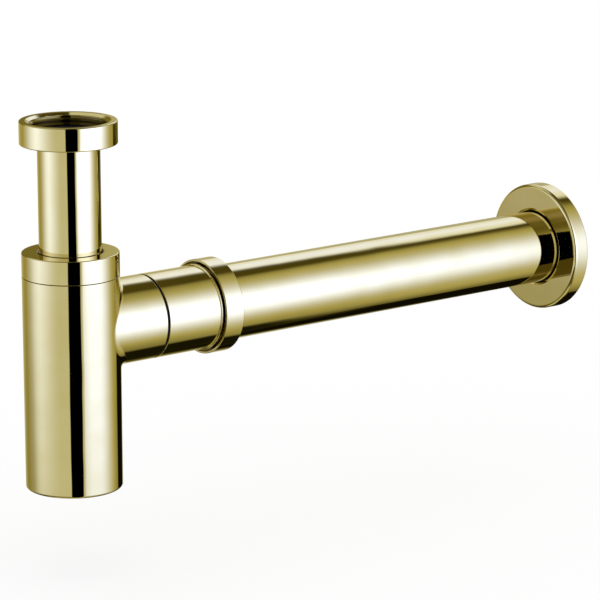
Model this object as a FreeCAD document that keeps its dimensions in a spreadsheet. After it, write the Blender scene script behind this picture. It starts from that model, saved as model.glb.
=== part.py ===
import FreeCAD, Part
import os
import re
import Sketcher

doc = FreeCAD.newDocument("bottle_trap")
sheet = doc.addObject("Spreadsheet::Sheet", "Sizes")

# Driving sizes in millimetres. Heights run from the outlet axis or from a piece's own lower face,
# and reaches run along the outlet from the inlet axis.
DRIVING = (
    ("slide_gap", 0.3, "gap around a tube where it passes through brass"),
    ("thread_gap", 0.15, "gap between the plain walls that stand for a screw thread"),
    ("seal_gap", 0.1, "gap between a rubber ring and what it seals"),
    ("face_gap", 0.2, "gap between flat faces that turn on each other"),
    ("seam_gap", 0.25, "open seam between the cap nut and the shoulder of the bottle"),
    ("edge_round", 0.6, "rounding of the outer edges of the nuts"),
    ("seam_round", 0.2, "rounding of the edges beside a seam"),
    ("tube_bevel", 0.3, "bevel on the ends of the tubes"),
    ("hole_bevel", 0.8, "bevel around a hole that a tube comes out of"),
    ("outlet_radius", 20.0, "outside of the outlet tube"),
    ("outlet_wall", 1.0, "wall of the outlet tube"),
    ("outlet_length", 280.0, "length of the outlet tube"),
    ("branch_wall", 1.9, "wall around the outlet tube in the adaptor"),
    ("bottle_margin", 2.8, "how far the bottle stands out past the branch"),
    ("inlet_radius", 16.0, "outside of the inlet tube"),
    ("inlet_wall", 1.0, "wall of the inlet tube"),
    ("inlet_length", 169.0, "length of the inlet tube with its collar"),
    ("outlet_drop", 102.0, "from the upper face of the gasket down to the outlet axis"),
    ("collar_height", 1.5, "thickness of the collar on the inlet tube"),
    ("gasket_height", 2.0, "thickness of the inlet gasket"),
    ("gasket_inset", 0.5, "step from the bore of the inlet tube to the bore of the gasket"),
    ("inlet_thread", 19.5, "crest of the thread in the inlet nut"),
    ("inlet_nut_height", 12.0, "height of the inlet nut"),
    ("inlet_nut_floor", 1.8, "inner flange of the inlet nut"),
    ("mouth_bevel", 1.7, "bevel that leads into the thread of the inlet nut"),
    ("relief_depth", 0.9, "depth of the groove below the thread of the inlet nut"),
    ("shoulder_rise", 28.35, "shoulder of the bottle above the outlet axis"),
    ("shoulder_wall", 4.0, "thickness of the shoulder of the bottle"),
    ("neck_height", 7.6, "height of the neck above the shoulder"),
    ("neck_lip", 1.6, "width of the flat rim of the neck"),
    ("neck_bore_gap", 1.0, "gap between the inlet tube and the throat of the neck"),
    ("throat_height", 3.0, "height of the throat above the shoulder, below the seat"),
    ("bottle_depth", 83.0, "base of the bottle below the outlet axis"),
    ("bottle_wall", 1.8, "side wall of the bottle"),
    ("bottle_base", 3.0, "thickness of the base of the bottle"),
    ("base_round", 1.4, "rounding of the lower edge of the bottle"),
    ("braze_round", 2.5, "brazed fillet between branch and bottle"),
    ("cap_height", 12.2, "height of the cap nut"),
    ("cap_wall", 2.85, "side wall of the cap nut"),
    ("cap_top", 2.4, "thickness of the top of the cap nut"),
    ("slip_height", 1.1, "thickness of the slip rings"),
    ("branch_reach", 44.6, "end of the branch"),
    ("socket_depth", 10.6, "depth of the socket in the branch"),
    ("socket_wall", 1.7, "wall of the branch around its socket"),
    ("union_gap", 0.8, "open seam between the branch and the adaptor"),
    ("washer_height", 1.5, "thickness of the adaptor washer"),
    ("waterway", 18.0, "bore of the branch and of the adaptor"),
    ("adaptor_length", 40.1, "visible body of the adaptor with the part inside the outlet nut"),
    ("stop_inset", 4.6, "from the start of the adaptor's body to the stop for the tube"),
    ("tube_standoff", 2.0, "from that stop to the end of the outlet tube"),
    ("seat_depth", 2.0, "depth of the tapered seat in the end of the adaptor"),
    ("seat_lip", 0.6, "width of the flat rim outside that seat"),
    ("outlet_nut_width", 11.3, "width of the outlet nut"),
    ("outlet_nut_lap", 5.4, "how far the outlet nut reaches over the adaptor"),
    ("outlet_nut_end", 2.2, "thickness of the end of the outlet nut"),
    ("flange_margin", 15.3, "how far the wall flange stands out from the outlet tube"),
    ("flange_depth", 9.5, "depth of the wall flange"),
    ("flange_round", 1.8, "rounding of the front edge of the wall flange"),
    ("flange_face", 3.2, "thickness of the front of the wall flange"),
    ("flange_rim", 3.0, "wall of the rim of the wall flange"),
    ("hub_wall", 4.4, "wall of the hub of the wall flange"),
    ("hub_setback", 1.0, "from the back of the rim to the back of the hub"),
    ("groove_inset", 3.4, "from the front of the wall flange to its O-ring groove"),
    ("ring_section", 1.2, "radius of the O-ring's section"),
    ("ring_play", 0.15, "gap between the O-ring and its groove"),
    ("spigot_reach", 8.7, "outlet tube past the back of the wall flange"),
)

# Sizes that follow from the driving ones.
DERIVED = (
    ("tube_hole", "inlet_radius + slide_gap", "holes for the inlet tube"),
    ("outlet_hole", "outlet_radius + slide_gap", "holes for the outlet tube"),
    ("branch_radius", "outlet_hole + branch_wall", "outside of branch and adaptor"),
    ("bottle_radius", "branch_radius + bottle_margin", "outside of the bottle and of the nuts"),
    ("collar_radius", "inlet_thread - slide_gap", "collar of the inlet tube and gasket"),
    ("nut_drop", "gasket_height + collar_height + face_gap + inlet_nut_floor", "foot of the inlet nut"),
    ("neck_radius", "bottle_radius - cap_wall - thread_gap", "outside of the neck"),
    ("neck_rise", "shoulder_rise + neck_height", "rim of the neck above the outlet axis"),
    ("throat_rise", "shoulder_rise + throat_height", "foot of the seat above the outlet axis"),
    ("throat_radius", "tube_hole + neck_bore_gap", "bore of the throat"),
    ("seat_radius", "neck_radius - neck_lip", "mouth of the seat in the neck"),
    ("cap_rise", "shoulder_rise + seam_gap", "foot of the cap nut above the outlet axis"),
    ("cap_ceiling", "cap_rise + cap_height - cap_top", "underside of the cap nut's top"),
    ("slip_rise", "cap_ceiling - face_gap - slip_height", "foot of the cap slip ring"),
    ("socket_radius", "branch_radius - socket_wall", "bore of the socket in the branch"),
    ("socket_floor", "branch_reach - socket_depth", "floor of that socket"),
    ("spigot_length", "socket_depth + union_gap - washer_height", "screwed end of the adaptor"),
    ("adaptor_start", "socket_floor + washer_height", "inner end of the adaptor"),
    ("body_start", "branch_reach + union_gap", "start of the adaptor's visible body"),
    ("adaptor_end", "body_start + adaptor_length", "outer end of the adaptor"),
    ("outlet_nut_start", "adaptor_end - outlet_nut_lap", "inner face of the outlet nut"),
    ("slip_start", "outlet_nut_start + outlet_nut_width - outlet_nut_end - face_gap - slip_height", "outlet slip ring"),
    ("seat_rim", "branch_radius - seat_lip", "mouth of the seat in the adaptor"),
    ("seat_middle", "(outlet_hole + seat_rim) / 2", "that seat half way down, where the seal ends"),
    ("seal_start", "adaptor_end - seat_depth / 2", "inner end of the outlet seal"),
    ("tube_start", "body_start + stop_inset + tube_standoff", "inner end of the outlet tube"),
    ("flange_start", "tube_start + outlet_length - spigot_reach - flange_depth", "front of the wall flange"),
    ("flange_radius", "outlet_radius + flange_margin", "outside of the wall flange"),
    ("ring_radius", "outlet_radius + seal_gap + ring_section", "centre line of the O-ring"),
    ("groove_width", "2 * ring_section + 2 * ring_play", "width of the O-ring groove"),
)

row = 0
for alias, size, note in DRIVING + DERIVED:
    row += 1
    sheet.set("A%d" % row, alias)
    sheet.set("B%d" % row, str(size) if isinstance(size, float) else "=" + size)
    sheet.setAlias("B%d" % row, alias)
    sheet.set("C%d" % row, note)
doc.recompute()


def amount(text):
    """Present value, in millimetres, of an expression written in the sheet's words."""
    return float(sheet.evalExpression(text))


def linked(text):
    """The same expression as another object writes it, with the sheet's name before each word."""
    return re.sub(r"[a-z]\w*", lambda word: "Sizes." + word.group(), text)


def origin_plane(body, role):
    """The body's own base plane with this role."""
    return [plane for plane in body.Origin.OriginFeatures if plane.Role == role][0]


def new_body(label, turn, across, down):
    """A body with its own place: turned as given, moved along the outlet and below the gasket's face."""
    body = doc.addObject("PartDesign::Body", label)
    body.Label = label
    body.Placement = FreeCAD.Placement(FreeCAD.Vector(), turn)
    if across != "0":
        body.setExpression("Placement.Base.x", linked(across))
    body.setExpression("Placement.Base.z", linked(down))
    return body


def new_sketch(body, role, name):
    """An empty sketch on one of the body's base planes."""
    sketch = body.newObject("Sketcher::SketchObject", name)
    sketch.AttachmentSupport = [(origin_plane(body, role), "")]
    sketch.MapMode = "FlatFace"
    return sketch


def dimension(sketch, kind, axis, line, text):
    """Place the start of one sketch line by a bound distance from the origin, or on the axis itself."""
    if text == "0":
        sketch.addConstraint(Sketcher.Constraint("PointOnObject", line, 1, axis))
        return
    if text.startswith("-"):
        text = text[1:]
        index = sketch.addConstraint(Sketcher.Constraint(kind, line, 1, -1, 1, amount(text)))
    else:
        index = sketch.addConstraint(Sketcher.Constraint(kind, -1, 1, line, 1, amount(text)))
    sketch.setExpression("Constraints[%d]" % index, linked(text))


def closed_profile(sketch, points):
    """A closed chain of lines through points given as pairs of expressions, fully constrained.

    A line between two points that share a coordinate is held level or upright. Every other
    coordinate is a distance from the origin that is bound to the sheet.
    """
    spots = [FreeCAD.Vector(amount(first), amount(second), 0) for first, second in points]
    count = len(points)
    for i in range(count):
        sketch.addGeometry(Part.LineSegment(spots[i], spots[(i + 1) % count]), False)
    for i in range(count):
        sketch.addConstraint(Sketcher.Constraint("Coincident", i, 2, (i + 1) % count, 1))
    for side, kind, axis, straight in ((0, "DistanceX", -2, "Vertical"), (1, "DistanceY", -1, "Horizontal")):
        for i in range(count):
            text = points[i][side]
            if text != "0" and i > 0 and text == points[i - 1][side]:
                sketch.addConstraint(Sketcher.Constraint(straight, i - 1))
            elif text != "0" and i == count - 1 and text == points[0][side]:
                sketch.addConstraint(Sketcher.Constraint(straight, i))
            else:
                dimension(sketch, kind, axis, i, text)


def revolved(body, kind, sketch, axis):
    """Turn a sketch right round one of its own axes, to add material or to cut it."""
    feature = body.newObject("PartDesign::" + kind, sketch.Name + "_turned")
    feature.Profile = sketch
    feature.ReferenceAxis = (sketch, [axis])
    feature.Angle = 360
    sketch.Visibility = False
    doc.recompute()
    return feature


def turned(label, turn, across, down, points):
    """A piece turned from bar: one closed profile of radius and height pairs, round the piece's axis."""
    body = new_body(label, turn, across, down)
    sketch = new_sketch(body, "XZ_Plane", label + "_profile")
    closed_profile(sketch, points)
    return body, revolved(body, "Revolution", sketch, "V_Axis")


def rims(feature, places):
    """Names of the round edges at these radii and heights."""
    wanted = [(amount(radius), amount(height)) for radius, height in places]
    names = []
    for number, edge in enumerate(feature.Shape.Edges, start=1):
        if edge.Curve.TypeId != "Part::GeomCircle" or not edge.isClosed():
            continue
        for radius, height in wanted:
            if abs(edge.Curve.Radius - radius) < SAME and abs(edge.Curve.Center.z - height) < SAME:
                names.append("Edge%d" % number)
    return names


def eased(body, feature, kind, size, names):
    """Round or bevel some edges of a feature by a size from the sheet."""
    dressed = body.newObject("PartDesign::" + kind, feature.Name + "_" + size)
    dressed.Base = (feature, names)
    prop = "Radius" if kind == "Fillet" else "Size"
    setattr(dressed, prop, amount(size))
    dressed.setExpression(prop, "Sizes." + size)
    feature.Visibility = False
    doc.recompute()
    return dressed


SAME = 1e-4
UPRIGHT = FreeCAD.Rotation()
ALONG_OUTLET = FreeCAD.Rotation(FreeCAD.Vector(0, 1, 0), 90)

# The inlet nut: flange below, relief groove, thread wall and a bevelled mouth.
thread_top = "inlet_nut_height - mouth_bevel"
body, nut = turned("inlet_nut", UPRIGHT, "0", "-nut_drop", (
    ("tube_hole", "0"),
    ("bottle_radius", "0"),
    ("bottle_radius", "inlet_nut_height"),
    ("inlet_thread + mouth_bevel", "inlet_nut_height"),
    ("inlet_thread", thread_top),
    ("inlet_thread", "nut_drop"),
    ("inlet_thread + relief_depth", "nut_drop"),
    ("inlet_thread + relief_depth", "inlet_nut_floor"),
    ("tube_hole", "inlet_nut_floor"),
))
eased(body, nut, "Fillet", "edge_round", rims(nut, (
    ("bottle_radius", "0"),
    ("bottle_radius", "inlet_nut_height"),
)))

# The flat gasket that lies on the collar; its upper face is the seat for the basin waste.
turned("inlet_gasket", UPRIGHT, "0", "-gasket_height", (
    ("inlet_radius - inlet_wall + gasket_inset", "0"),
    ("collar_radius", "0"),
    ("collar_radius", "gasket_height"),
    ("inlet_radius - inlet_wall + gasket_inset", "gasket_height"),
))

# The inlet tube hangs from its collar and dips into the water in the bottle.
body, tube = turned("inlet_tube", UPRIGHT, "0", "-(gasket_height + inlet_length)", (
    ("inlet_radius - inlet_wall", "0"),
    ("inlet_radius", "0"),
    ("inlet_radius", "inlet_length - collar_height"),
    ("collar_radius", "inlet_length - collar_height"),
    ("collar_radius", "inlet_length"),
    ("inlet_radius - inlet_wall", "inlet_length"),
))
eased(body, tube, "Chamfer", "tube_bevel", rims(tube, (("inlet_radius", "0"),)))

# The cap nut screws onto the neck and presses the seal into its seat.
body, cap = turned("cap_nut", UPRIGHT, "0", "cap_rise - outlet_drop", (
    ("bottle_radius - cap_wall", "0"),
    ("bottle_radius", "0"),
    ("bottle_radius", "cap_height"),
    ("tube_hole + hole_bevel", "cap_height"),
    ("tube_hole", "cap_height - hole_bevel"),
    ("tube_hole", "cap_height - cap_top"),
    ("bottle_radius - cap_wall", "cap_height - cap_top"),
))
cap = eased(body, cap, "Fillet", "edge_round", rims(cap, (("bottle_radius", "cap_height"),)))
eased(body, cap, "Fillet", "seam_round", rims(cap, (("bottle_radius", "0"),)))

# The nylon ring that lets the cap nut turn without dragging the seal round.
turned("cap_slip_ring", UPRIGHT, "0", "slip_rise - outlet_drop", (
    ("tube_hole", "0"),
    ("neck_radius - slide_gap", "0"),
    ("neck_radius - slide_gap", "slip_height"),
    ("tube_hole", "slip_height"),
))

# The tapered rubber seal sits in the seat of the neck and stands a little above its rim.
seal_top = "slip_rise - throat_rise - seal_gap"
turned("cap_seal", UPRIGHT, "0", "throat_rise + seal_gap - outlet_drop", (
    ("inlet_radius + seal_gap", "0"),
    ("throat_radius - seal_gap", "0"),
    ("seat_radius - seal_gap", "neck_rise - throat_rise - seal_gap"),
    ("seat_radius - seal_gap", seal_top),
    ("inlet_radius + seal_gap", seal_top),
))

# The bottle: a turned cup with a neck, the branch brazed to its side, then the hollow and the waterway.
bottle = new_body("bottle", UPRIGHT, "0", "-outlet_drop")
cup_sketch = new_sketch(bottle, "XZ_Plane", "bottle_cup")
closed_profile(cup_sketch, (
    ("0", "-bottle_depth"),
    ("bottle_radius", "-bottle_depth"),
    ("bottle_radius", "shoulder_rise"),
    ("neck_radius", "shoulder_rise"),
    ("neck_radius", "neck_rise"),
    ("0", "neck_rise"),
))
cup = revolved(bottle, "Revolution", cup_sketch, "V_Axis")
cup = eased(bottle, cup, "Fillet", "base_round", rims(cup, (("bottle_radius", "-bottle_depth"),)))
cup = eased(bottle, cup, "Fillet", "seam_round", rims(cup, (("bottle_radius", "shoulder_rise"),)))
branch_sketch = new_sketch(bottle, "XZ_Plane", "bottle_branch")
closed_profile(branch_sketch, (
    ("0", "0"),
    ("0", "branch_radius"),
    ("branch_reach", "branch_radius"),
    ("branch_reach", "0"),
))
branch = revolved(bottle, "Revolution", branch_sketch, "H_Axis")
joint_edges = []
for number, edge in enumerate(branch.Shape.Edges, start=1):
    if edge.Curve.TypeId not in ("Part::GeomCircle", "Part::GeomLine"):
        joint_edges.append("Edge%d" % number)
branch = eased(bottle, branch, "Fillet", "braze_round", joint_edges)
end_edges = []
for number, edge in enumerate(branch.Shape.Edges, start=1):
    if edge.isClosed() and abs(edge.BoundBox.XMin - amount("branch_reach")) < SAME:
        end_edges.append("Edge%d" % number)
branch = eased(bottle, branch, "Fillet", "seam_round", end_edges)
uncut = branch.Shape.Volume
hollow_sketch = new_sketch(bottle, "XZ_Plane", "bottle_hollow")
closed_profile(hollow_sketch, (
    ("0", "-(bottle_depth - bottle_base)"),
    ("bottle_radius - bottle_wall", "-(bottle_depth - bottle_base)"),
    ("bottle_radius - bottle_wall", "shoulder_rise - shoulder_wall"),
    ("throat_radius", "shoulder_rise - shoulder_wall"),
    ("throat_radius", "throat_rise"),
    ("seat_radius", "neck_rise"),
    ("0", "neck_rise"),
))
hollow = revolved(bottle, "Groove", hollow_sketch, "V_Axis")
hollowed = hollow.Shape.Volume
waterway_sketch = new_sketch(bottle, "XZ_Plane", "bottle_waterway")
closed_profile(waterway_sketch, (
    ("0", "0"),
    ("0", "waterway"),
    ("socket_floor", "waterway"),
    ("socket_floor", "socket_radius"),
    ("branch_reach", "socket_radius"),
    ("branch_reach", "0"),
))
passage = revolved(bottle, "Groove", waterway_sketch, "H_Axis")
if not uncut > hollowed > passage.Shape.Volume:
    raise RuntimeError("the hollow or the waterway of the bottle was not cut")

# The fibre washer at the bottom of the socket.
turned("adaptor_washer", ALONG_OUTLET, "socket_floor", "-outlet_drop", (
    ("waterway", "0"),
    ("socket_radius - slide_gap", "0"),
    ("socket_radius - slide_gap", "washer_height"),
    ("waterway", "washer_height"),
))

# The adaptor: a screwed spigot, a stop for the tube, and a tapered seat in its outer end.
adaptor_total = "spigot_length + adaptor_length"
stop_height = "spigot_length + stop_inset"
body, adaptor = turned("outlet_adaptor", ALONG_OUTLET, "adaptor_start", "-outlet_drop", (
    ("waterway", "0"),
    ("socket_radius - thread_gap", "0"),
    ("socket_radius - thread_gap", "spigot_length"),
    ("branch_radius", "spigot_length"),
    ("branch_radius", adaptor_total),
    ("seat_rim", adaptor_total),
    ("outlet_hole", adaptor_total + " - seat_depth"),
    ("outlet_hole", stop_height),
    ("waterway", stop_height),
))
eased(body, adaptor, "Fillet", "seam_round", rims(adaptor, (
    ("branch_radius", "spigot_length"),
    ("branch_radius", adaptor_total),
)))

# The outlet nut, a knurl-free compression ring over the end of the adaptor.
body, ring = turned("outlet_nut", ALONG_OUTLET, "outlet_nut_start", "-outlet_drop", (
    ("branch_radius + thread_gap", "0"),
    ("bottle_radius", "0"),
    ("bottle_radius", "outlet_nut_width"),
    ("outlet_hole + hole_bevel", "outlet_nut_width"),
    ("outlet_hole", "outlet_nut_width - hole_bevel"),
    ("outlet_hole", "outlet_nut_width - outlet_nut_end"),
    ("branch_radius + thread_gap", "outlet_nut_width - outlet_nut_end"),
))
eased(body, ring, "Fillet", "edge_round", rims(ring, (
    ("bottle_radius", "0"),
    ("bottle_radius", "outlet_nut_width"),
)))

# The nylon ring between the outlet nut and its seal.
turned("outlet_slip_ring", ALONG_OUTLET, "slip_start", "-outlet_drop", (
    ("outlet_hole", "0"),
    ("branch_radius - slide_gap", "0"),
    ("branch_radius - slide_gap", "slip_height"),
    ("outlet_hole", "slip_height"),
))

# The outlet seal, tapered to the seat in the end of the adaptor.
outlet_seal_end = "slip_start - seal_start"
turned("outlet_seal", ALONG_OUTLET, "seal_start", "-outlet_drop", (
    ("outlet_radius + seal_gap", "0"),
    ("seat_middle - seal_gap", "0"),
    ("seat_rim - seal_gap", "seat_depth / 2"),
    ("seat_rim - seal_gap", outlet_seal_end),
    ("outlet_radius + seal_gap", outlet_seal_end),
))

# The long outlet tube.
body, tube = turned("outlet_tube", ALONG_OUTLET, "tube_start", "-outlet_drop", (
    ("outlet_radius - outlet_wall", "0"),
    ("outlet_radius", "0"),
    ("outlet_radius", "outlet_length"),
    ("outlet_radius - outlet_wall", "outlet_length"),
))
eased(body, tube, "Chamfer", "tube_bevel", rims(tube, (
    ("outlet_radius", "0"),
    ("outlet_radius", "outlet_length"),
)))

# The wall flange: a shallow cup with a hub inside that holds the O-ring.
hub_back = "flange_depth - hub_setback"
groove_back = "groove_inset + groove_width"
groove_radius = "ring_radius + ring_section + ring_play"
body, flange = turned("wall_flange", ALONG_OUTLET, "flange_start", "-outlet_drop", (
    ("outlet_hole + hole_bevel", "0"),
    ("flange_radius", "0"),
    ("flange_radius", "flange_depth"),
    ("flange_radius - flange_rim", "flange_depth"),
    ("flange_radius - flange_rim", "flange_face"),
    ("outlet_hole + hub_wall", "flange_face"),
    ("outlet_hole + hub_wall", hub_back),
    ("outlet_hole", hub_back),
    ("outlet_hole", groove_back),
    (groove_radius, groove_back),
    (groove_radius, "groove_inset"),
    ("outlet_hole", "groove_inset"),
    ("outlet_hole", "hole_bevel"),
))
flange = eased(body, flange, "Fillet", "flange_round", rims(flange, (("flange_radius", "0"),)))
eased(body, flange, "Fillet", "edge_round", rims(flange, (("flange_radius", "flange_depth"),)))

# The O-ring in the groove of the hub.
body = new_body("flange_o_ring", ALONG_OUTLET, "flange_start + groove_inset + ring_section + ring_play", "-outlet_drop")
ring_sketch = new_sketch(body, "XZ_Plane", "flange_o_ring_section")
centre = FreeCAD.Vector(amount("ring_radius"), 0, 0)
ring_sketch.addGeometry(Part.Circle(centre, FreeCAD.Vector(0, 0, 1), amount("ring_section")), False)
ring_sketch.addConstraint(Sketcher.Constraint("PointOnObject", 0, 3, -1))
across_index = ring_sketch.addConstraint(Sketcher.Constraint("DistanceX", -1, 1, 0, 3, amount("ring_radius")))
ring_sketch.setExpression("Constraints[%d]" % across_index, "Sizes.ring_radius")
section_index = ring_sketch.addConstraint(Sketcher.Constraint("Radius", 0, amount("ring_section")))
ring_sketch.setExpression("Constraints[%d]" % section_index, "Sizes.ring_section")
revolved(body, "Revolution", ring_sketch, "V_Axis")

doc.recompute()
for item in doc.Objects:
    if "Invalid" in item.State or "Error" in item.State:
        raise RuntimeError(item.Label + " did not rebuild")
os.makedirs("parts", exist_ok=True)
for item in doc.Objects:
    if item.TypeId != "PartDesign::Body":
        continue
    if item.Shape.isNull() or not item.Shape.isValid() or len(item.Shape.Solids) != 1:
        raise RuntimeError(item.Label + " is not one sound solid")
    item.Shape.exportStep("parts/" + item.Label + ".step")
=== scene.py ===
import math
import bmesh
import bpy
import mathutils
import numpy as np
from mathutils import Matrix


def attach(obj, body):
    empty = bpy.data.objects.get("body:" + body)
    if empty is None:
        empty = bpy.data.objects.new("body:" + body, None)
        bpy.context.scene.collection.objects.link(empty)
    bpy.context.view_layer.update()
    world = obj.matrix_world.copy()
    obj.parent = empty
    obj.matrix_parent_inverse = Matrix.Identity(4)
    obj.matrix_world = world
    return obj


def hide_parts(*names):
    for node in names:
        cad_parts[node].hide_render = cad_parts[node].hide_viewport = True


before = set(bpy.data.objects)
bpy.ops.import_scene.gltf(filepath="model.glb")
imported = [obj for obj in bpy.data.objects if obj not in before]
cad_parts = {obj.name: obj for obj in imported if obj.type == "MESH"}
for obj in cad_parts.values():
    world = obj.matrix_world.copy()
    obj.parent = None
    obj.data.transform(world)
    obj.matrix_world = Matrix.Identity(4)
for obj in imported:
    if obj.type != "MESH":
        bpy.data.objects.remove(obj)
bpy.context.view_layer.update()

# Inlet nut: a smooth ring turned from brass bar and polished outside, with a pipe thread cut inside.
# It screws up onto the tail of the basin waste and presses the gasket against it.
MM = 0.001
NUT_RADIUS = 25.0
NUT_TOP = 6.5
NUT_FOOT = -5.5
NUT_FLOOR = -3.7
NUT_HOLE = 16.3
NUT_COLUMNS = 289
MOUTH_RADIUS = 21.75
BEVEL_SLOPE = 1.8
THREAD_PITCH = 2.309
THREAD_CREST = 19.7
THREAD_FOOT = -0.2
THREAD_TURNS = np.arange(3, -3, -1)
THREAD_CUT = (
    (0.00, 0.03), (0.04, 0.00), (0.12, 0.11), (0.25, 0.29), (0.38, 0.48), (0.50, 0.67), (0.58, 0.80),
    (0.64, 0.90), (0.68, 0.97), (0.71, 1.00), (0.75, 0.96), (0.85, 0.58), (0.95, 0.18),
)
RELIEF_RADIUS = 21.0
ARC_POINTS = 9
CORNER_POINTS = ARC_POINTS + 2
FLAT_EDGE = 0.03
JOIN_DISTANCE = 1e-7
SHARP_ANGLE = math.radians(40)


def rounded(corners):
    """Closed profile through (radius, height, rounding) corners, in mm, with an arc at each corner.

    Each arc touches both sides of its corner: its centre lies on the line that halves the angle, at the
    rounding divided by the sine of half the angle. A point just beyond each end keeps the flats flat.
    """
    here = np.array(corners, float)
    place, size = here[:, :2], here[:, 2:]
    back = np.roll(place, 1, axis=0) - place
    on = np.roll(place, -1, axis=0) - place
    back /= np.linalg.norm(back, axis=1, keepdims=True)
    on /= np.linalg.norm(on, axis=1, keepdims=True)
    half = np.arccos(np.clip((back * on).sum(1, keepdims=True), -1, 1)) / 2
    reach = size / np.tan(half)
    middle = back + on
    middle /= np.linalg.norm(middle, axis=1, keepdims=True)
    centre = place + middle * size / np.sin(half)
    first = place + back * reach - centre
    last = place + on * reach - centre
    step = np.linspace(0, 1, ARC_POINTS)[:, None, None]
    sweep = np.pi - 2 * half
    arcs = centre + (np.sin((1 - step) * sweep) * first + np.sin(step * sweep) * last) / np.sin(sweep)
    before = place + back * (reach + FLAT_EDGE)
    after = place + on * (reach + FLAT_EDGE)
    return np.concatenate((before[None], arcs, after[None])).transpose(1, 0, 2)


def new_piece(name, points, faces, material):
    """Mesh object of those points, in metres, and faces, at the origin and in that material."""
    mesh = bpy.data.meshes.new(name)
    mesh.from_pydata(points.reshape(-1, 3).tolist(), [], faces)
    mesh.materials.append(material)
    piece = bpy.data.objects.new(name, mesh)
    bpy.context.scene.collection.objects.link(piece)
    return piece


def closed_piece(name, points, material):
    """Object from a grid of points (round the section, round the axis).

    The section closes on itself, the last column lies on the first, and points that meet are joined.
    """
    rows, columns = points.shape[:2]
    index = np.arange(rows * columns).reshape(rows, columns)
    below = np.roll(index, -1, axis=0)
    faces = np.stack((index[:, :-1], index[:, 1:], below[:, 1:], below[:, :-1]), axis=-1)
    piece = new_piece(name, points, faces.reshape(-1, 4).tolist(), material)
    joined = bmesh.new()
    joined.from_mesh(piece.data)
    bmesh.ops.remove_doubles(joined, verts=joined.verts, dist=JOIN_DISTANCE)
    joined.to_mesh(piece.data)
    joined.free()
    piece.data.shade_smooth()
    piece.data.set_sharp_from_angle(angle=SHARP_ANGLE)
    return piece


thread_top = NUT_TOP - (MOUTH_RADIUS - THREAD_CREST) / BEVEL_SLOPE
nut_corners = (
    (NUT_HOLE, NUT_FOOT, 0.3),
    (NUT_RADIUS, NUT_FOOT, 0.6),
    (NUT_RADIUS, NUT_TOP, 0.6),
    (MOUTH_RADIUS, NUT_TOP, 0.12),
    (THREAD_CREST, thread_top, 0.05),
    (RELIEF_RADIUS, THREAD_FOOT, 0.05),
    (RELIEF_RADIUS, NUT_FLOOR, 0.3),
    (NUT_HOLE, NUT_FLOOR, 0.2),
)
CREST_CORNER = 4


def threaded(section, turns):
    """Radius and height grids of a section with a thread in place of the arc at its crest corner.

    Each row of the thread keeps its place in the cut and climbs one pitch in a turn, so row and edge run
    along the helix. A row stops at the thread's top and foot, with the radius that the cut has there.
    """
    steps, cut = np.array(THREAD_CUT[::-1]).T
    rows = (THREAD_TURNS[:, None] + steps).reshape(-1, 1)
    climb = np.clip(rows + turns, THREAD_FOOT / THREAD_PITCH, thread_top / THREAD_PITCH)
    depth = np.interp((climb - turns) % 1, np.append(steps[::-1], 1), np.append(cut[::-1], cut[-1]))
    plain = section[:, :, None] + 0 * turns
    start, end = CREST_CORNER * CORNER_POINTS + 1, (CREST_CORNER + 1) * CORNER_POINTS
    radius = np.concatenate((plain[:start, 0], THREAD_CREST + depth, plain[end:, 0]))
    height = np.concatenate((plain[:start, 1], climb * THREAD_PITCH, plain[end:, 1]))
    return radius, height


turns = np.linspace(0, 1, NUT_COLUMNS)
radius, height = threaded(rounded(nut_corners).reshape(-1, 2), turns)
across, along = np.cos(2 * np.pi * turns), np.sin(2 * np.pi * turns)
nut_points = np.stack((radius * across, radius * along, height), axis=-1) * MM

BRASS = (0.66, 0.56, 0.24, 1)
BRASS_PALER = (0.68, 0.585, 0.265, 1)
# Nearly black: the colour of raw brass darkened with painted shade, for bores, threads and hollows.
BRASS_RAW_SHADED = (0.075, 0.056, 0.014, 1)
BRASS_BUMP = 0.00016
LATHE_ACROSS = 40.0
LATHE_ALONG = 900.0
LATHE_RUB = 0.009
LATHE_DEPTH = 0.02
SMEAR_RUB = (0.013, 0.027)
SPECK_RUB = 0.03
RAW_RUB = 0.06
RAW_SHADE_EDGE = 0.0002
RAW_SHADE_FADE = 0.0022
UPRIGHT = (0.0, 0.0, 0.0)
ALONG_OUTLET = (0.0, -math.pi / 2, 0.0)
OUTLET_AXIS = -102.0
NO_MOUTH = 1000.0


def put(tree, kind, inputs=None, **settings):
    """One shader node: inputs gives each socket a value or the output that feeds it."""
    made = tree.nodes.new(kind)
    for name, value in settings.items():
        setattr(made, name, value)
    for socket, value in (inputs or {}).items():
        if isinstance(value, bpy.types.NodeSocket):
            tree.links.new(value, made.inputs[socket])
        else:
            made.inputs[socket].default_value = value
    return made


def reckon(tree, operation, *terms):
    """One Math node on numbers or outputs."""
    return put(tree, "ShaderNodeMath", dict(enumerate(terms)), operation=operation).outputs[0]


def ramp(tree, value, low, high, start=0.0, end=1.0):
    """Smooth step from start to end as value goes from low to high."""
    inputs = {"Value": value, "From Min": low, "From Max": high, "To Min": start, "To Max": end}
    return put(tree, "ShaderNodeMapRange", inputs, interpolation_type="SMOOTHSTEP").outputs["Result"]


def noise(tree, place, scale, detail):
    """Cloudy pattern between 0 and 1, of that many waves in a metre."""
    inputs = {"Vector": place, "Scale": scale, "Detail": detail, "Roughness": 0.5}
    return put(tree, "ShaderNodeTexNoise", inputs).outputs["Fac"]


def blended(tree, share, first, second):
    """Colour that goes from first to second with share."""
    return put(tree, "ShaderNodeMix", {0: share, 6: first, 7: second}, data_type="RGBA").outputs[2]


def own_place(tree, shift, turn):
    """Object coordinates, shifted in metres and then turned."""
    place = put(tree, "ShaderNodeTexCoord").outputs["Object"]
    place = put(tree, "ShaderNodeMapping", {"Vector": place, "Location": shift}).outputs["Vector"]
    return put(tree, "ShaderNodeMapping", {"Vector": place, "Rotation": turn}).outputs["Vector"]


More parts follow.
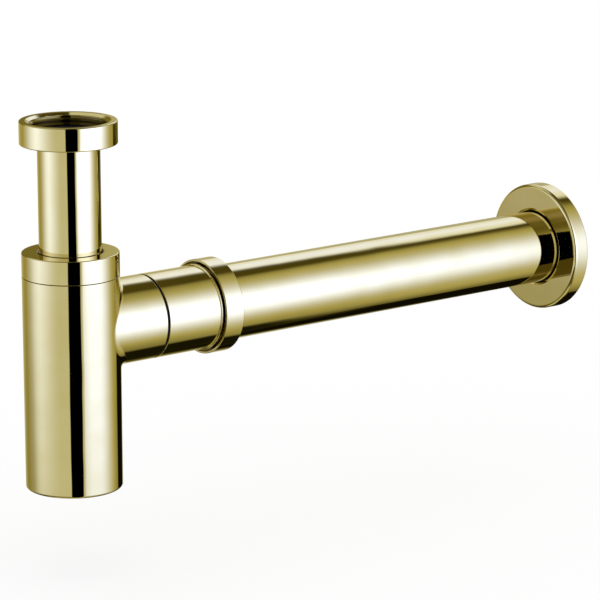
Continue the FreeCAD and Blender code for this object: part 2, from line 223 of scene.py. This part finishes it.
def effect(name, inputs, outputs):
    """Empty node group with its named sockets, and its input and output nodes."""
    group = bpy.data.node_groups.new(name, "ShaderNodeTree")
    for label, kind in inputs:
        group.interface.new_socket(label, in_out="INPUT", socket_type="NodeSocket" + kind)
    for label, kind in outputs:
        group.interface.new_socket(label, in_out="OUTPUT", socket_type="NodeSocket" + kind)
    return group, group.nodes.new("NodeGroupInput").outputs, group.nodes.new("NodeGroupOutput").inputs


def new_finish(name):
    """Node material and its tree, which starts with a Principled shader."""
    material = bpy.data.materials.new(name)
    material.use_nodes = True
    return material, material.node_tree


def coat(tree, colour, roughness, height, depth, strength):
    """Feeds the shader its colour, its roughness and a bump from height, that deep in metres."""
    shader = tree.nodes["Principled BSDF"].inputs
    bump = put(tree, "ShaderNodeBump", {"Height": height, "Distance": depth, "Strength": strength})
    tree.links.new(colour, shader["Base Color"])
    tree.links.new(roughness, shader["Roughness"])
    tree.links.new(bump.outputs["Normal"], shader["Normal"])


polish, given, result = effect(
    "polished_brass",
    (("Place", "Vector"), ("Bore", "Float"), ("Mouth", "Float")),
    (("Colour", "Color"), ("Roughness", "Float"), ("Height", "Float")),
)
apart = put(polish, "ShaderNodeSeparateXYZ", {"Vector": given["Place"]}).outputs
square = reckon(polish, "MULTIPLY", apart["Y"], apart["Y"])
off_axis = reckon(polish, "SQRT", reckon(polish, "MULTIPLY_ADD", apart["X"], apart["X"], square))
lathe_place = put(polish, "ShaderNodeCombineXYZ", {
    "X": reckon(polish, "MULTIPLY", apart["X"], LATHE_ACROSS),
    "Y": reckon(polish, "MULTIPLY", apart["Y"], LATHE_ACROSS),
    "Z": reckon(polish, "MULTIPLY", reckon(polish, "ADD", apart["Z"], off_axis), LATHE_ALONG),
}).outputs["Vector"]
lathe_lines = noise(polish, lathe_place, scale=1.0, detail=2.0)
waves = noise(polish, given["Place"], scale=38.0, detail=1.0)
smears = noise(polish, given["Place"], scale=70.0, detail=5.0)
specks = ramp(polish, noise(polish, given["Place"], scale=650.0, detail=1.0), low=0.76, high=0.82)
# Inside the bore and below the mouth: rougher raw brass, and painted shade that turns the colour nearly
# black.
past_bore = reckon(polish, "SUBTRACT", off_axis, given["Bore"])
past_mouth = reckon(polish, "SUBTRACT", apart["Z"], given["Mouth"])
inside = ramp(polish, past_bore, -RAW_SHADE_EDGE, RAW_SHADE_EDGE, start=1.0, end=0.0)
beneath = ramp(polish, past_mouth, -RAW_SHADE_FADE, 0.0, start=1.0, end=0.0)
raw_and_shade = reckon(polish, "MULTIPLY", inside, beneath)
sheen = blended(polish, ramp(polish, smears, low=0.3, high=0.7), BRASS, BRASS_PALER)
polish.links.new(blended(polish, raw_and_shade, sheen, BRASS_RAW_SHADED), result["Colour"])
speck_rub = reckon(polish, "MULTIPLY", specks, SPECK_RUB)
rub = reckon(polish, "ADD", ramp(polish, smears, 0.35, 0.7, *SMEAR_RUB), speck_rub)
rub = reckon(polish, "MULTIPLY_ADD", lathe_lines, LATHE_RUB, rub)
polish.links.new(reckon(polish, "MULTIPLY_ADD", raw_and_shade, RAW_RUB, rub), result["Roughness"])
polish.links.new(reckon(polish, "MULTIPLY_ADD", lathe_lines, LATHE_DEPTH, waves), result["Height"])


def brass(name, bore, turn, mouth=NO_MOUTH):
    """Polished brass; within bore of its axis below the mouth (mm) it is rough raw brass, painted nearly
    black as shade; turn brings the axis upright.
    """
    material, tree = new_finish(name)
    tree.nodes["Principled BSDF"].inputs["Metallic"].default_value = 1.0
    drop = -OUTLET_AXIS * MM if turn != UPRIGHT else 0.0
    inputs = {"Place": own_place(tree, (0.0, 0.0, drop), turn), "Bore": bore * MM, "Mouth": mouth * MM}
    made = put(tree, "ShaderNodeGroup", inputs, node_tree=polish).outputs
    coat(tree, made["Colour"], made["Roughness"], made["Height"], BRASS_BUMP, strength=1.0)
    return material


# The thread and the bore below the thread's top are coloured nearly black: raw brass darkened with painted
# shade of the nut's mouth.
nut_brass = brass("nut_brass", bore=21.3, turn=UPRIGHT, mouth=thread_top)
threaded_nut = closed_piece("threaded_nut", nut_points, nut_brass)
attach(threaded_nut, "inlet_nut")
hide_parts("inlet_nut")

# Inlet gasket and the other soft seals: moulded black rubber, matt and very finely grained.
# The nuts squeeze them, the gasket against the basin waste and the rest against the tubes.
RUBBER = (0.012, 0.012, 0.013, 1)
RUBBER_WORN = (0.028, 0.027, 0.026, 1)
RUBBER_SHINE = 0.2
RUBBER_ROUGHNESS = (0.68, 0.88)
RUBBER_BUMP = 0.00005
rubber, tree = new_finish("black_rubber")
tree.nodes["Principled BSDF"].inputs["Specular IOR Level"].default_value = RUBBER_SHINE
place = put(tree, "ShaderNodeTexCoord").outputs["Object"]
bloom = noise(tree, place, scale=120.0, detail=4.0)
grain = noise(tree, place, scale=2600.0, detail=2.0)
black = blended(tree, ramp(tree, bloom, low=0.35, high=0.7), RUBBER, RUBBER_WORN)
coat(tree, black, ramp(tree, bloom, 0.3, 0.7, *RUBBER_ROUGHNESS), grain, RUBBER_BUMP, strength=0.6)


def dress(node, material):
    """Gives a CAD node its material."""
    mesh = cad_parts[node].data
    mesh.materials.clear()
    mesh.materials.append(material)


for seal in ("inlet_gasket", "cap_seal", "outlet_seal", "flange_o_ring"):
    dress(seal, rubber)

# Inlet tube: drawn brass tube, polished outside and raw inside, with a collar rolled at the top. Inside it
# is painted nearly black as shade.
# It hangs from the inlet nut and dips into the bottle's water, which is the seal of the trap.
dress("inlet_tube", brass("inlet_tube_brass", bore=15.5, turn=UPRIGHT))

# Cap nut: a turned brass lid screwed over the neck of the bottle, round the inlet tube.
# Tightening it presses the slip ring and the seal below against the tube.
# Its bore round the tube is painted nearly black as shade.
dress("cap_nut", brass("cap_nut_brass", bore=17.0, turn=UPRIGHT))

# Slip rings: off-white nylon washers, stamped from sheet and yellowed a little in patches.
# They let a nut turn without dragging the seal round with it.
NYLON = (0.74, 0.72, 0.66, 1)
NYLON_YELLOWED = (0.66, 0.61, 0.49, 1)
NYLON_ROUGHNESS = (0.32, 0.48)
NYLON_BUMP = 0.00004
nylon, tree = new_finish("slip_nylon")
place = put(tree, "ShaderNodeTexCoord").outputs["Object"]
clouds = noise(tree, place, scale=90.0, detail=4.0)
grain = noise(tree, place, scale=1400.0, detail=2.0)
white = blended(tree, ramp(tree, clouds, low=0.35, high=0.65), NYLON, NYLON_YELLOWED)
coat(tree, white, ramp(tree, clouds, 0.3, 0.7, *NYLON_ROUGHNESS), grain, NYLON_BUMP, strength=0.5)
for ring in ("cap_slip_ring", "outlet_slip_ring"):
    dress(ring, nylon)

# Bottle: a brass cup drawn in one piece, with a short branch brazed into its side and filed smooth.
# It hangs from the cap nut, holds the water, and carries the whole outlet side.
# Its inside is painted nearly black as shade.
bottle_brass = brass("bottle_brass", bore=23.2, turn=UPRIGHT)
dress("bottle", bottle_brass)

# Braze: brass filler run into the corner between the bottle and its branch, then polished with them.
# It is widest on the two flanks a little below the middle, where the walls meet at a slant and the
# melted filler gathered, and narrow above and below.
BOTTLE_RADIUS = 25.0
BRANCH_RADIUS = 22.2
BRAZE_RADIUS = 2.7
BRAZE_SWELL = 5.0
SWELL_MIDDLE = -0.35
SWELL_REACH = 0.7
BRAZE_ROOT = 0.4
BRAZE_POINTS = 15
ROUND_COLUMNS = 241


def braze_fillet():
    """Grid of points of the fillet: an arc and the buried back of it, carried round the branch.

    At each angle a ball touches both cylinders: its centre lies its own radius outside each of them. The
    arc runs round the ball from one touching point to the other, and the back passes through the metal.
    """
    angle = np.linspace(0, 2 * np.pi, ROUND_COLUMNS)
    side, lift = np.cos(angle), np.sin(angle)
    swell = np.maximum(1 - ((lift - SWELL_MIDDLE) / SWELL_REACH) ** 2, 0) ** 2
    ball = BRAZE_RADIUS + BRAZE_SWELL * swell
    reach, swing = BOTTLE_RADIUS + ball, (BRANCH_RADIUS + ball) * side
    height = OUTLET_AXIS + (BRANCH_RADIUS + ball) * lift
    centre = np.stack((np.sqrt(reach ** 2 - swing ** 2), swing, height), axis=-1)
    share = BOTTLE_RADIUS / reach
    on_bottle = centre * np.stack((share, share, 1 + 0 * share), axis=-1)
    across, upward = BRANCH_RADIUS * side, OUTLET_AXIS + BRANCH_RADIUS * lift
    on_branch = np.stack((centre[:, 0], across, upward), axis=-1)
    first, last = (on_bottle - centre) / ball[:, None], (on_branch - centre) / ball[:, None]
    sweep = np.arccos((first * last).sum(-1, keepdims=True))
    step = np.linspace(0, 1, BRAZE_POINTS)[:, None, None]
    spread = (np.sin((1 - step) * sweep) * first + np.sin(step * sweep) * last) / np.sin(sweep)
    crease = np.stack((np.sqrt(BOTTLE_RADIUS ** 2 - across ** 2), across, upward), axis=-1)
    bottle_out = crease * (1, 1, 0) / BOTTLE_RADIUS
    branch_out = np.stack((0 * side, side, lift), axis=-1)
    inward = (bottle_out + branch_out) / (1 + (bottle_out * branch_out).sum(-1, keepdims=True))
    back = (on_branch + BRAZE_ROOT * last, crease - BRAZE_ROOT * inward, on_bottle + BRAZE_ROOT * first)
    return np.concatenate((centre + ball[:, None] * spread, np.stack(back))) * MM


braze = closed_piece("braze", braze_fillet(), bottle_brass)
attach(braze, "bottle")

# Adaptor washer: pressed red fibre with pale flecks, lying at the bottom of the branch's socket.
# The adaptor screws down on it, which seals the joint.
FIBRE = (0.22, 0.052, 0.03, 1)
FIBRE_FLECK = (0.36, 0.17, 0.11, 1)
FIBRE_STRETCH = (0.3, 1.0, 1.0)
FIBRE_ROUGHNESS = (0.7, 0.9)
FIBRE_BUMP = 0.00008
fibre, tree = new_finish("red_fibre")
place = put(tree, "ShaderNodeTexCoord").outputs["Object"]
place = put(tree, "ShaderNodeMapping", {"Vector": place, "Scale": FIBRE_STRETCH}).outputs["Vector"]
flecks = noise(tree, place, scale=1100.0, detail=3.0)
red = blended(tree, ramp(tree, flecks, low=0.55, high=0.7), FIBRE, FIBRE_FLECK)
coat(tree, red, ramp(tree, flecks, 0.3, 0.7, *FIBRE_ROUGHNESS), flecks, FIBRE_BUMP, strength=0.6)
dress("adaptor_washer", fibre)

# Outlet adaptor: a brass sleeve turned from bar, with a screwed spigot at its inner end.
# It screws into the branch and leaves a narrow dark groove there; the outlet tube slides into it. Its
# spigot and bore are painted nearly black as shade, which darkens that groove too.
SPIGOT_RADIUS = 20.2
SPIGOT_START = 35.5
SLEEVE_RADIUS = 22.2
SLEEVE_START = 46.1
SLEEVE_END = 85.5
BEAD_RADIUS = 23.0
BEAD_FOOT = (78.2, 79.6)
BEAD_TOP = (78.45, 79.45)
WATERWAY = 18.0
TUBE_STOP = 50.0
TUBE_HOLE = 20.3
SLEEVE_LEAD = 83.5
SLEEVE_MOUTH = 21.6


def turned(section):
    """Grid of points: a closed (radius, height) section in mm carried round the outlet's axis."""
    radius, height = section.reshape(-1, 2, 1).transpose(1, 0, 2)
    angle = np.linspace(0, 2 * np.pi, ROUND_COLUMNS)
    across = radius * np.cos(angle)
    upward = radius * np.sin(angle) + OUTLET_AXIS
    return np.stack((height + 0 * angle, across, upward), axis=-1) * MM


sleeve_section = rounded((
    (WATERWAY, SPIGOT_START, 0.3),
    (SPIGOT_RADIUS, SPIGOT_START, 0.4),
    (SPIGOT_RADIUS, SLEEVE_START, 0.2),
    (SLEEVE_RADIUS, SLEEVE_START, 0.25),
    (SLEEVE_RADIUS, BEAD_FOOT[0], 0.2),
    (BEAD_RADIUS, BEAD_TOP[0], 0.35),
    (BEAD_RADIUS, BEAD_TOP[1], 0.4),
    (SLEEVE_RADIUS, BEAD_FOOT[1], 0.1),
    (SLEEVE_RADIUS, SLEEVE_END, 0.2),
    (SLEEVE_MOUTH, SLEEVE_END, 0.1),
    (TUBE_HOLE, SLEEVE_LEAD, 0.3),
    (TUBE_HOLE, TUBE_STOP, 0.2),
    (WATERWAY, TUBE_STOP, 0.2),
))
sleeve_brass = brass("sleeve_brass", bore=21.0, turn=ALONG_OUTLET)
adaptor_sleeve = closed_piece("adaptor_sleeve", turned(sleeve_section), sleeve_brass)
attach(adaptor_sleeve, "bottle")
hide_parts("outlet_adaptor")

# Joint ring: a moulded black rubber ring, nearly round in section, in the groove between branch and
# adaptor. It lies loose round the spigot and is squeezed a little as the adaptor is screwed home.
JOINT_RADIUS = 20.75
JOINT_MIDDLE = 45.35
JOINT_HALF = (0.55, 0.74)
JOINT_POINTS = 24
spin = np.linspace(0, 2 * np.pi, JOINT_POINTS, endpoint=False)
joint_circle = np.stack((np.cos(spin), np.sin(spin)), axis=-1)
joint_section = (JOINT_RADIUS, JOINT_MIDDLE) + JOINT_HALF * joint_circle
joint_ring = closed_piece("joint_ring", turned(joint_section), rubber)
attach(joint_ring, "bottle")

# Outlet nut: a smooth brass ring that screws onto the end of the adaptor, round the outlet tube.
# Its open end is bored out wider than the adaptor, which leaves a groove round it, dark from its depth and
# from painted shade on its floor and bore.
RING_RADIUS = 25.0
RING_START = 80.1
RING_END = 91.4
RING_FLOOR = 89.2
RING_BORE = 22.35
GROOVE_RADIUS = 23.9
GROOVE_FLOOR = 82.6
RING_LEAD = 90.6
RING_MOUTH = 21.1
ring_section = rounded((
    (RING_BORE, RING_FLOOR, 0.3),
    (RING_BORE, GROOVE_FLOOR, 0.15),
    (GROOVE_RADIUS, GROOVE_FLOOR, 0.3),
    (GROOVE_RADIUS, RING_START, 0.15),
    (RING_RADIUS, RING_START, 0.3),
    (RING_RADIUS, RING_END, 0.5),
    (RING_MOUTH, RING_END, 0.15),
    (TUBE_HOLE, RING_LEAD, 0.15),
    (TUBE_HOLE, RING_FLOOR, 0.15),
))
ring_brass = brass("ring_brass", bore=23.7, turn=ALONG_OUTLET)
outlet_ring = closed_piece("outlet_ring", turned(ring_section), ring_brass)
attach(outlet_ring, "outlet_nut")
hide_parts("outlet_nut")

# Outlet tube: drawn brass tube, polished outside and raw inside, cut square at both ends. Inside it is
# painted nearly black as shade.
# It slides in the adaptor to suit the distance to the wall, and ends in the wall's drain pipe.
dress("outlet_tube", brass("outlet_tube_brass", bore=19.5, turn=ALONG_OUTLET))

# Wall flange: a pressed brass rosette with a rolled rim, hollow behind.
# It slides along the outlet tube and covers the hole in the wall; an o-ring holds it.
FLANGE_FRONT = 313.8
FLANGE_RADIUS = 35.3
FLANGE_DEPTH = 9.5
FLANGE_THICKNESS = 3.2
RIM_INSIDE = 32.3
HUB_RADIUS = 24.7
HUB_DEPTH = 8.5
HUB_HOLE = 20.3
O_RING_RADIUS = 22.65
O_RING_PLACE = (3.4, 6.1)
FACE_HOLE = 20.75
FACE_BEVEL = 21.95
BEVEL_DEPTH = 0.45
flange_section = rounded((
    (FACE_HOLE, BEVEL_DEPTH, 0.15),
    (FACE_BEVEL, 0.0, 0.2),
    (FLANGE_RADIUS, 0.0, 1.8),
    (FLANGE_RADIUS, FLANGE_DEPTH, 0.6),
    (RIM_INSIDE, FLANGE_DEPTH, 0.3),
    (RIM_INSIDE, FLANGE_THICKNESS, 1.2),
    (HUB_RADIUS, FLANGE_THICKNESS, 1.0),
    (HUB_RADIUS, HUB_DEPTH, 0.3),
    (HUB_HOLE, HUB_DEPTH, 0.2),
    (HUB_HOLE, O_RING_PLACE[1], 0.1),
    (O_RING_RADIUS, O_RING_PLACE[1], 0.1),
    (O_RING_RADIUS, O_RING_PLACE[0], 0.1),
    (FACE_HOLE, O_RING_PLACE[0], 0.1),
)) + (0, FLANGE_FRONT)
# Its hole wall round the tube is painted nearly black as shade of the gap.
flange_brass = brass("flange_brass", bore=20.85, turn=ALONG_OUTLET)
rosette = closed_piece("rosette", turned(flange_section), flange_brass)
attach(rosette, "wall_flange")
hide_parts("wall_flange")

# Floor: a plain sheet of white paper just below the lowest place of the bottle, with a soft faint shadow.
# Seven tenths of its white is its own light, so that it runs into the white background.
# It can be looked through from below, which leaves the underside of the object to be seen.
FLOOR_HEIGHT = -0.2302
FLOOR_HALF = 6.0
FLOOR_MATT = 0.3
WHITE = (1, 1, 1, 1)
paper, tree = new_finish("white_paper")
tree.nodes.clear()
own = put(tree, "ShaderNodeEmission", {"Color": WHITE, "Strength": 1.0}).outputs["Emission"]
matt = put(tree, "ShaderNodeBsdfDiffuse", {"Color": WHITE}).outputs["BSDF"]
mixed = put(tree, "ShaderNodeMixShader", {0: FLOOR_MATT, 1: own, 2: matt}).outputs["Shader"]
below = put(tree, "ShaderNodeNewGeometry").outputs["Backfacing"]
clear = put(tree, "ShaderNodeBsdfTransparent").outputs["BSDF"]
sheet = put(tree, "ShaderNodeMixShader", {0: below, 1: mixed, 2: clear}).outputs["Shader"]
put(tree, "ShaderNodeOutputMaterial", {"Surface": sheet})
corner = np.array(((-1, -1, 0), (1, -1, 0), (1, 1, 0), (-1, 1, 0))) * FLOOR_HALF
floor = new_piece("floor", corner + (0, 0, FLOOR_HEIGHT), [(0, 1, 2, 3)], paper)
floor.visible_glossy = False

# Background: plain white on all sides, at the strength where a colour shows as it is written.
# It is the light of the room too, and comes evenly from everywhere, so no shadow has a hard edge.
world = bpy.data.worlds.new("white_room")
bpy.context.scene.world = world
world.use_nodes = True
world.node_tree.nodes["Background"].inputs["Color"].default_value = WHITE
world.node_tree.nodes["Background"].inputs["Strength"].default_value = 1.0

# Studio tent: boards and soft boxes in a ring round the object, seen only as reflections in metal.
# A big soft box on the right, a pale panel and strip on the left, and black gaps and flags between.
TENT_RADIUS = 1.3
TENT_ROWS = 48
TENT_COLUMNS = 96
ROOM = (0.07, 0.058, 0.012, 1)
CAMERA_BEARING = math.radians(127.67)
card_inputs = ("Bearing", "Rise", "Centre", "Half Width", "Side Edge", "Middle", "Half Height", "Top Edge")
card, given, result = effect("studio_card", [(name, "Float") for name in card_inputs], [("Mask", "Float")])


def soft_edge(distance, half, edge):
    """One inside half minus edge, nought beyond half plus edge, and a smooth step between."""
    far = reckon(card, "ABSOLUTE", distance)
    low, high = reckon(card, "SUBTRACT", half, edge), reckon(card, "ADD", half, edge)
    return ramp(card, far, low, high, start=1.0, end=0.0)


aside = reckon(card, "WRAP", reckon(card, "SUBTRACT", given["Bearing"], given["Centre"]), 180.0, -180.0)
above = reckon(card, "SUBTRACT", given["Rise"], given["Middle"])
across = soft_edge(aside, given["Half Width"], given["Side Edge"])
upright = soft_edge(above, given["Half Height"], given["Top Edge"])
card.links.new(reckon(card, "MULTIPLY", across, upright), result["Mask"])

boards, tree = new_finish("studio_boards")
tree.nodes.clear()
place = own_place(tree, (0.0, 0.0, -OUTLET_AXIS * MM), (0.0, 0.0, CAMERA_BEARING))
place = put(tree, "ShaderNodeVectorMath", {0: place}, operation="NORMALIZE").outputs["Vector"]
apart = put(tree, "ShaderNodeSeparateXYZ", {"Vector": place}).outputs
bearing = reckon(tree, "DEGREES", reckon(tree, "ARCTAN2", apart["Y"], apart["X"]))
rise = reckon(tree, "DEGREES", reckon(tree, "ARCSINE", apart["Z"]))
light = ROOM
# A card's numbers are degrees: its centre to the right of the camera's bearing, its half width and side
# edge, then its middle above the level, its half height and top edge. A later card covers an earlier one.
for label, spread, colour in (
    ("left_wall", (-60, 70, 15, 22, 62, 14), (0.23, 0.22, 0.1, 1)),
    ("warm_wall", (183.5, 104.1, 28.8, 6.4, 6.8, 52.8), (0.918, 0.8, 0.229, 1)),
    ("soft_box_glow", (69.5, 52.6, 16.9, 3.2, 53.6, 15.8), (0.601, 0.564, 0.266, 1)),
    ("soft_box", (59.5, 32.9, 25.1, 5.6, 25.6, 25.2), (2.037, 2.447, 5.381, 1)),
    ("side_panel_end", (-62, 32, 13, -5, 45, 15), (0.756, 0.769, 0.719, 1)),
    ("side_panel", (-18, 48.5, 2, -5, 45, 15), (0.756, 0.769, 0.719, 1)),
    ("side_strip", (-75, 21.9, 31.7, 1.1, 16.9, 11.9), (1.514, 1.729, 3.07, 1)),
    ("floor_sheet", (0, 200, 1, -80, 20, 4), (0.72, 0.68, 0.42, 1)),
    ("left_flag", (-47, 48, 5, -46, 16, 3), (0.14, 0.118, 0.04, 1)),
    ("left_board", (-70, 30, 8, 42, 16, 4), (0.5, 0.47, 0.42, 1)),
    ("front_gap", (11.5, 14.5, 1, -5, 64, 12), (0, 0, 0, 1)),
    ("back_wall", (213.6, 30.9, 0.1, 16.6, 12.4, 5), (0.214, 0.174, 0.038, 1)),
    ("high_board", (218, 31, 4, 54, 20, 5), (0.80, 0.82, 0.75, 1)),
    ("back_panel", (161.1, 21.5, 3, 8.5, 14, 2.1), (0.544, 0.516, 0.336, 1)),
    ("floor_glow", (189.1, 19.4, 27.5, -14.2, 18.7, 6.3), (0.729, 0.689, 0.41, 1)),
    ("edge_wall", (160, 14, 4, -10, 9, 3), (0.14, 0.11, 0.015, 1)),
    ("low_flag", (138.2, 8.7, 1.5, -26, 22, 4), (0.006, 0.005, 0.001, 1)),
    ("low_flag_end", (152, 13, 4, -31, 19, 3), (0.006, 0.005, 0.001, 1)),
    ("under_flag", (137.5, 28.5, 5.5, -65, 16, 2), (0.012, 0.011, 0.003, 1)),
    ("high_flag", (140, 15.5, 8, 55, 20, 4), (0.091, 0.075, 0.015, 1)),
    ("end_flag", (129, 12, 3, 11, 8, 3), (0.006, 0.005, 0.001, 1)),
    ("back_glow", (159.1, 21.4, 5, 30.3, 12.3, 3.6), (1.082, 1.143, 1.297, 1)),
    ("back_strip", (162.2, 13.1, 9.4, 35.7, 8.4, 5.3), (1.234, 1.368, 2.266, 1)),
):
    inputs = dict(enumerate((bearing, rise) + spread))
    mask = put(tree, "ShaderNodeGroup", inputs, node_tree=card, label=label).outputs["Mask"]
    light = blended(tree, mask, light, colour)
shown = put(tree, "ShaderNodeEmission", {"Color": light, "Strength": 1.0}).outputs["Emission"]
put(tree, "ShaderNodeOutputMaterial", {"Surface": shown})
boards.cycles.emission_sampling = "NONE"

tilt = np.linspace(-np.pi / 2, np.pi / 2, TENT_ROWS + 2)[1:-1, None]
spin = np.linspace(0, 2 * np.pi, TENT_COLUMNS, endpoint=False)
across, along, upward = np.cos(tilt) * np.cos(spin), np.cos(tilt) * np.sin(spin), np.sin(tilt) + 0 * spin
tent_points = np.stack((across, along, upward), axis=-1) * TENT_RADIUS + (0, 0, OUTLET_AXIS * MM)
index = np.arange(TENT_ROWS * TENT_COLUMNS).reshape(TENT_ROWS, TENT_COLUMNS)
beside = np.roll(index, -1, axis=1)
sides = np.stack((index[:-1], index[1:], beside[1:], beside[:-1]), axis=-1).reshape(-1, 4).tolist()
ends = [index[0].tolist(), index[-1][::-1].tolist()]
tent = new_piece("studio_tent", tent_points, sides + ends, boards)
tent.visible_camera = False
tent.visible_diffuse = False
tent.visible_transmission = False
tent.visible_shadow = False

# Camera: a long lens at the front left, a little above the object, as in the photograph.
# It stands about 1.7 m from the bottle and looks slightly down.
CAMERA_PLACE = (-0.9342, -1.4007, 0.3161)
CAMERA_TURN = math.radians(-37.668)
CAMERA_RISE = math.radians(13.491)
CAMERA_ROLL = math.radians(-0.107)
FILM_WIDTH = 36.0
FOCAL_LENGTH = 203.52
lens = bpy.data.cameras.new("camera")
lens.sensor_width = FILM_WIDTH
lens.lens = FOCAL_LENGTH
camera = bpy.data.objects.new("camera", lens)
bpy.context.scene.collection.objects.link(camera)
turn = mathutils.Matrix.Rotation(CAMERA_TURN, 3, "Z")
pitch = mathutils.Matrix.Rotation(math.pi / 2 - CAMERA_RISE, 3, "X")
roll = mathutils.Matrix.Rotation(CAMERA_ROLL, 3, "Z")
camera.rotation_euler = (turn @ pitch @ roll).to_euler()
camera.location = CAMERA_PLACE
bpy.context.scene.camera = camera
bpy.context.scene.view_settings.view_transform = "Standard"
